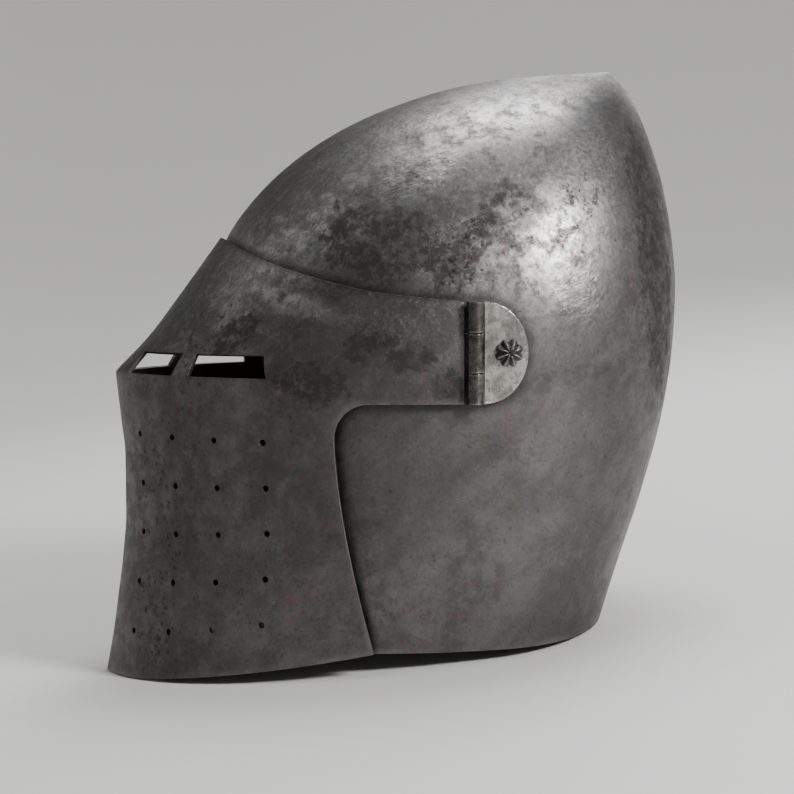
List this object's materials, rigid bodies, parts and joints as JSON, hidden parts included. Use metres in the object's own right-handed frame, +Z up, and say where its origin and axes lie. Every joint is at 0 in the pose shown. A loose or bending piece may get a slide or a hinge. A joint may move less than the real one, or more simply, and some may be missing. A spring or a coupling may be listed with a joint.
{
  "type": "visored bascinet helmet",
  "caption": "Pointed iron helmet with a visor that swings up on temple pivots; the visor has a creased brow, sights and breath holes.",
  "frame": {"origin": "on the ground, under the middle of the helmet's box as it stands on its chin and nape", "axes": "+Z up, face toward -Y, the wearer's left toward +X"},
  "size_m": [0.2194, 0.3204, 0.2835],
  "materials": {
    "skull_steel": "worn dark grey iron with stains, pits and a burnished sheen",
    "visor_steel": "worn dark grey iron with diagonal streaks and light edges",
    "hinge_steel": "burnished warm grey iron",
    "rivet_steel": "dark forged iron"
  },
  "bodies": {
    "bowl": {"skull": "skull_steel", "pivot_rivet_left": "rivet_steel", "pivot_rivet_right": "rivet_steel"},
    "face_guard": {"visor": "visor_steel", "hinge_plate_left": "hinge_steel", "hinge_plate_right": "hinge_steel", "hinge_pin_left": "rivet_steel", "hinge_pin_right": "rivet_steel"}
  },
  "joints": [
    {"name": "visor_lift", "type": "hinge", "parent": "bowl", "child": "face_guard", "pos_m": [0, 0.04585, 0.14711], "axis": [-1, 0, 0], "range_deg": [0, 70]}
  ]
}
